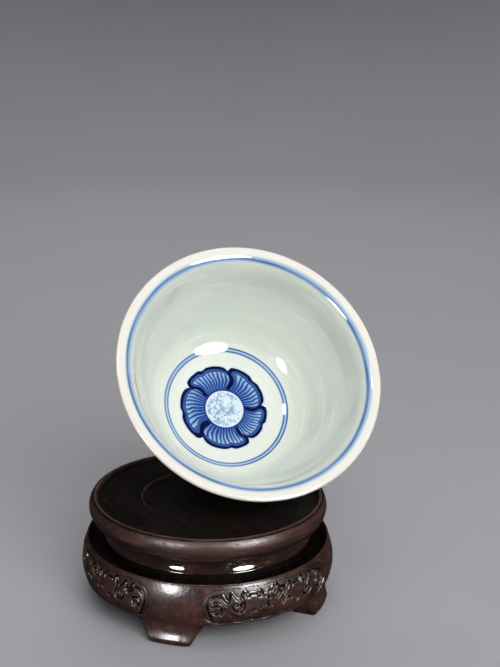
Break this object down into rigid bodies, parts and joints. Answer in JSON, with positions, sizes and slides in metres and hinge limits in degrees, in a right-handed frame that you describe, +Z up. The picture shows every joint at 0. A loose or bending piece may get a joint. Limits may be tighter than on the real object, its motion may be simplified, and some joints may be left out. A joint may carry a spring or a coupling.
{
  "type": "gaiwan tea bowl on stand",
  "caption": "Blue-and-white porcelain tea bowl with a flared lip, leaning on its side on a round carved hardwood stand with a sunk tray, a waist and splayed feet.",
  "frame": {"origin": "at table level, under the middle of the whole: the bowl leans out beyond the stand on the right, so the stand's axis stands at x = -9 mm", "axes": "+Z up; the carved aprons face -Y, +X, +Y and -X, the legs stand on the diagonals, and the bowl's mouth faces up and towards -Y"},
  "size_m": [0.1118, 0.0936, 0.1241],
  "materials": {
    "porcelain": "gloss",
    "tray_wood": "satin",
    "frame_wood": "satin",
    "waist_wood": "gloss",
    "apron_wood": "satin",
    "leg_wood": "satin",
    "bamboo": "matte"
  },
  "bodies": {
    "stand": {"seat_panel": "tray_wood", "top_frame": "frame_wood", "waist_block": "waist_wood", "drum_board": "tray_wood", "apron_front": "apron_wood", "apron_right": "apron_wood", "apron_back": "apron_wood", "apron_left": "apron_wood", "leg_front_right": "leg_wood", "leg_back_right": "leg_wood", "leg_back_left": "leg_wood", "leg_front_left": "leg_wood", "joint_pins": "bamboo"},
    "bowl": {"bowl": "porcelain"}
  },
  "joints": [
    {"name": "bowl_lift", "type": "slide", "parent": "stand", "child": "bowl", "axis": [0, 0, 1], "range_m": [0, 0.08]}
  ]
}
